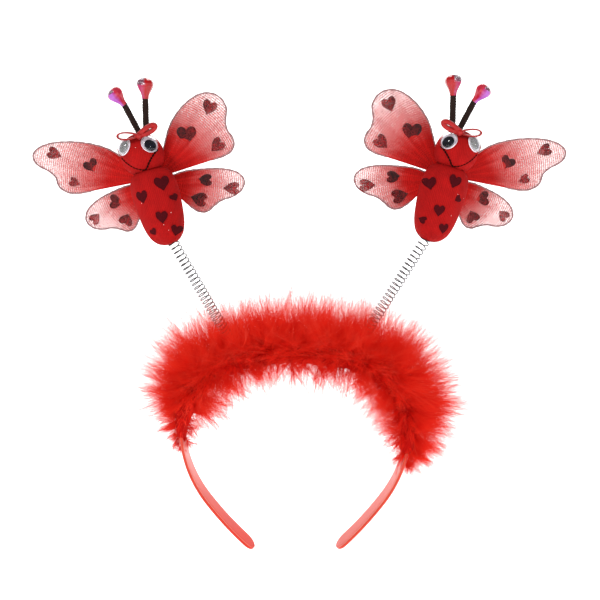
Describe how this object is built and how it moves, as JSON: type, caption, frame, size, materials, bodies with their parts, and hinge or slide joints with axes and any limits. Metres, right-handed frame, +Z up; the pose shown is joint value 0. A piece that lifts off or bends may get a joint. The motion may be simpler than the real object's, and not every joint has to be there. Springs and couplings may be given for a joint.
{
  "type": "bug headband",
  "caption": "Plastic hair band trimmed with marabou down, carrying padded winged bugs with wiggle eyes, ribbon bows and heart prints on bobbing coil springs.",
  "frame": {"origin": "middle of the crown's inner face, where the band rests on the top of the head", "axes": "+Z up away from the head, +X to the wearer's left as seen from the front (right in the picture), -Y towards the viewer, the way the wearer faces"},
  "size_m": [0.309, 0.0627, 0.2786],
  "materials": {
    "band_plastic": "glossy coral red moulded plastic",
    "down": "fluffy red marabou down",
    "spring_steel": "bright plated spring wire",
    "plush": "fine ribbed red knit, padded",
    "eye_white": "white moulded plastic",
    "pupil": "black plastic disc",
    "dome": "clear plastic dome",
    "stem": "black wrapped stem",
    "drop": "pearly pink and red drop",
    "ribbon": "red satin ribbon",
    "wing_wire": "thin wire wrapped in red nylon",
    "wing_net": "sheer stretched nylon, red at the root and pale at the tip"
  },
  "bodies": {
    "band": {"band": "band_plastic", "marabou": "down"},
    "left_stalk": {"left_spring": "spring_steel"},
    "left_bug": {"left_body": "plush", "left_head": "plush", "left_outer_eye_back": "eye_white", "left_outer_eye_pupil": "pupil", "left_outer_eye_dome": "dome", "left_outer_stem": "stem", "left_outer_drop": "drop", "left_inner_eye_back": "eye_white", "left_inner_eye_pupil": "pupil", "left_inner_eye_dome": "dome", "left_inner_stem": "stem", "left_inner_drop": "drop", "left_bow": "ribbon", "left_upper_inner_wire": "wing_wire", "left_upper_inner_net": "wing_net", "left_upper_outer_wire": "wing_wire", "left_upper_outer_net": "wing_net", "left_lower_inner_wire": "wing_wire", "left_lower_inner_net": "wing_net", "left_lower_outer_wire": "wing_wire", "left_lower_outer_net": "wing_net"},
    "right_stalk": {"right_spring": "spring_steel"},
    "right_bug": {"right_body": "plush", "right_head": "plush", "right_outer_eye_back": "eye_white", "right_outer_eye_pupil": "pupil", "right_outer_eye_dome": "dome", "right_outer_stem": "stem", "right_outer_drop": "drop", "right_inner_eye_back": "eye_white", "right_inner_eye_pupil": "pupil", "right_inner_eye_dome": "dome", "right_inner_stem": "stem", "right_inner_drop": "drop", "right_bow": "ribbon", "right_upper_inner_wire": "wing_wire", "right_upper_inner_net": "wing_net", "right_upper_outer_wire": "wing_wire", "right_upper_outer_net": "wing_net", "right_lower_inner_wire": "wing_wire", "right_lower_inner_net": "wing_net", "right_lower_outer_wire": "wing_wire", "right_lower_outer_net": "wing_net"}
  },
  "joints": [
    {"name": "left_nod", "type": "hinge", "parent": "band", "child": "left_stalk", "pos_m": [-0.042, 0, 0.0154], "axis": [1, 0, 0], "range_deg": [-20, 20], "stiffness_Nm_per_rad": 0.04, "springref_deg": 0.23, "deforming": ["left_spring"]},
    {"name": "left_sway", "type": "hinge", "parent": "left_stalk", "child": "left_bug", "pos_m": [-0.0554, 0, 0.0393], "axis": [0, 1, 0], "range_deg": [-20, 20], "stiffness_Nm_per_rad": 0.04, "springref_deg": 1.58, "deforming": ["left_spring"]},
    {"name": "right_nod", "type": "hinge", "parent": "band", "child": "right_stalk", "pos_m": [0.0427, 0, 0.015], "axis": [1, 0, 0], "range_deg": [-20, 20], "stiffness_Nm_per_rad": 0.04, "springref_deg": 0.23, "deforming": ["right_spring"]},
    {"name": "right_sway", "type": "hinge", "parent": "right_stalk", "child": "right_bug", "pos_m": [0.0571, 0, 0.0383], "axis": [0, 1, 0], "range_deg": [-20, 20], "stiffness_Nm_per_rad": 0.04, "springref_deg": -1.63, "deforming": ["right_spring"]}
  ]
}
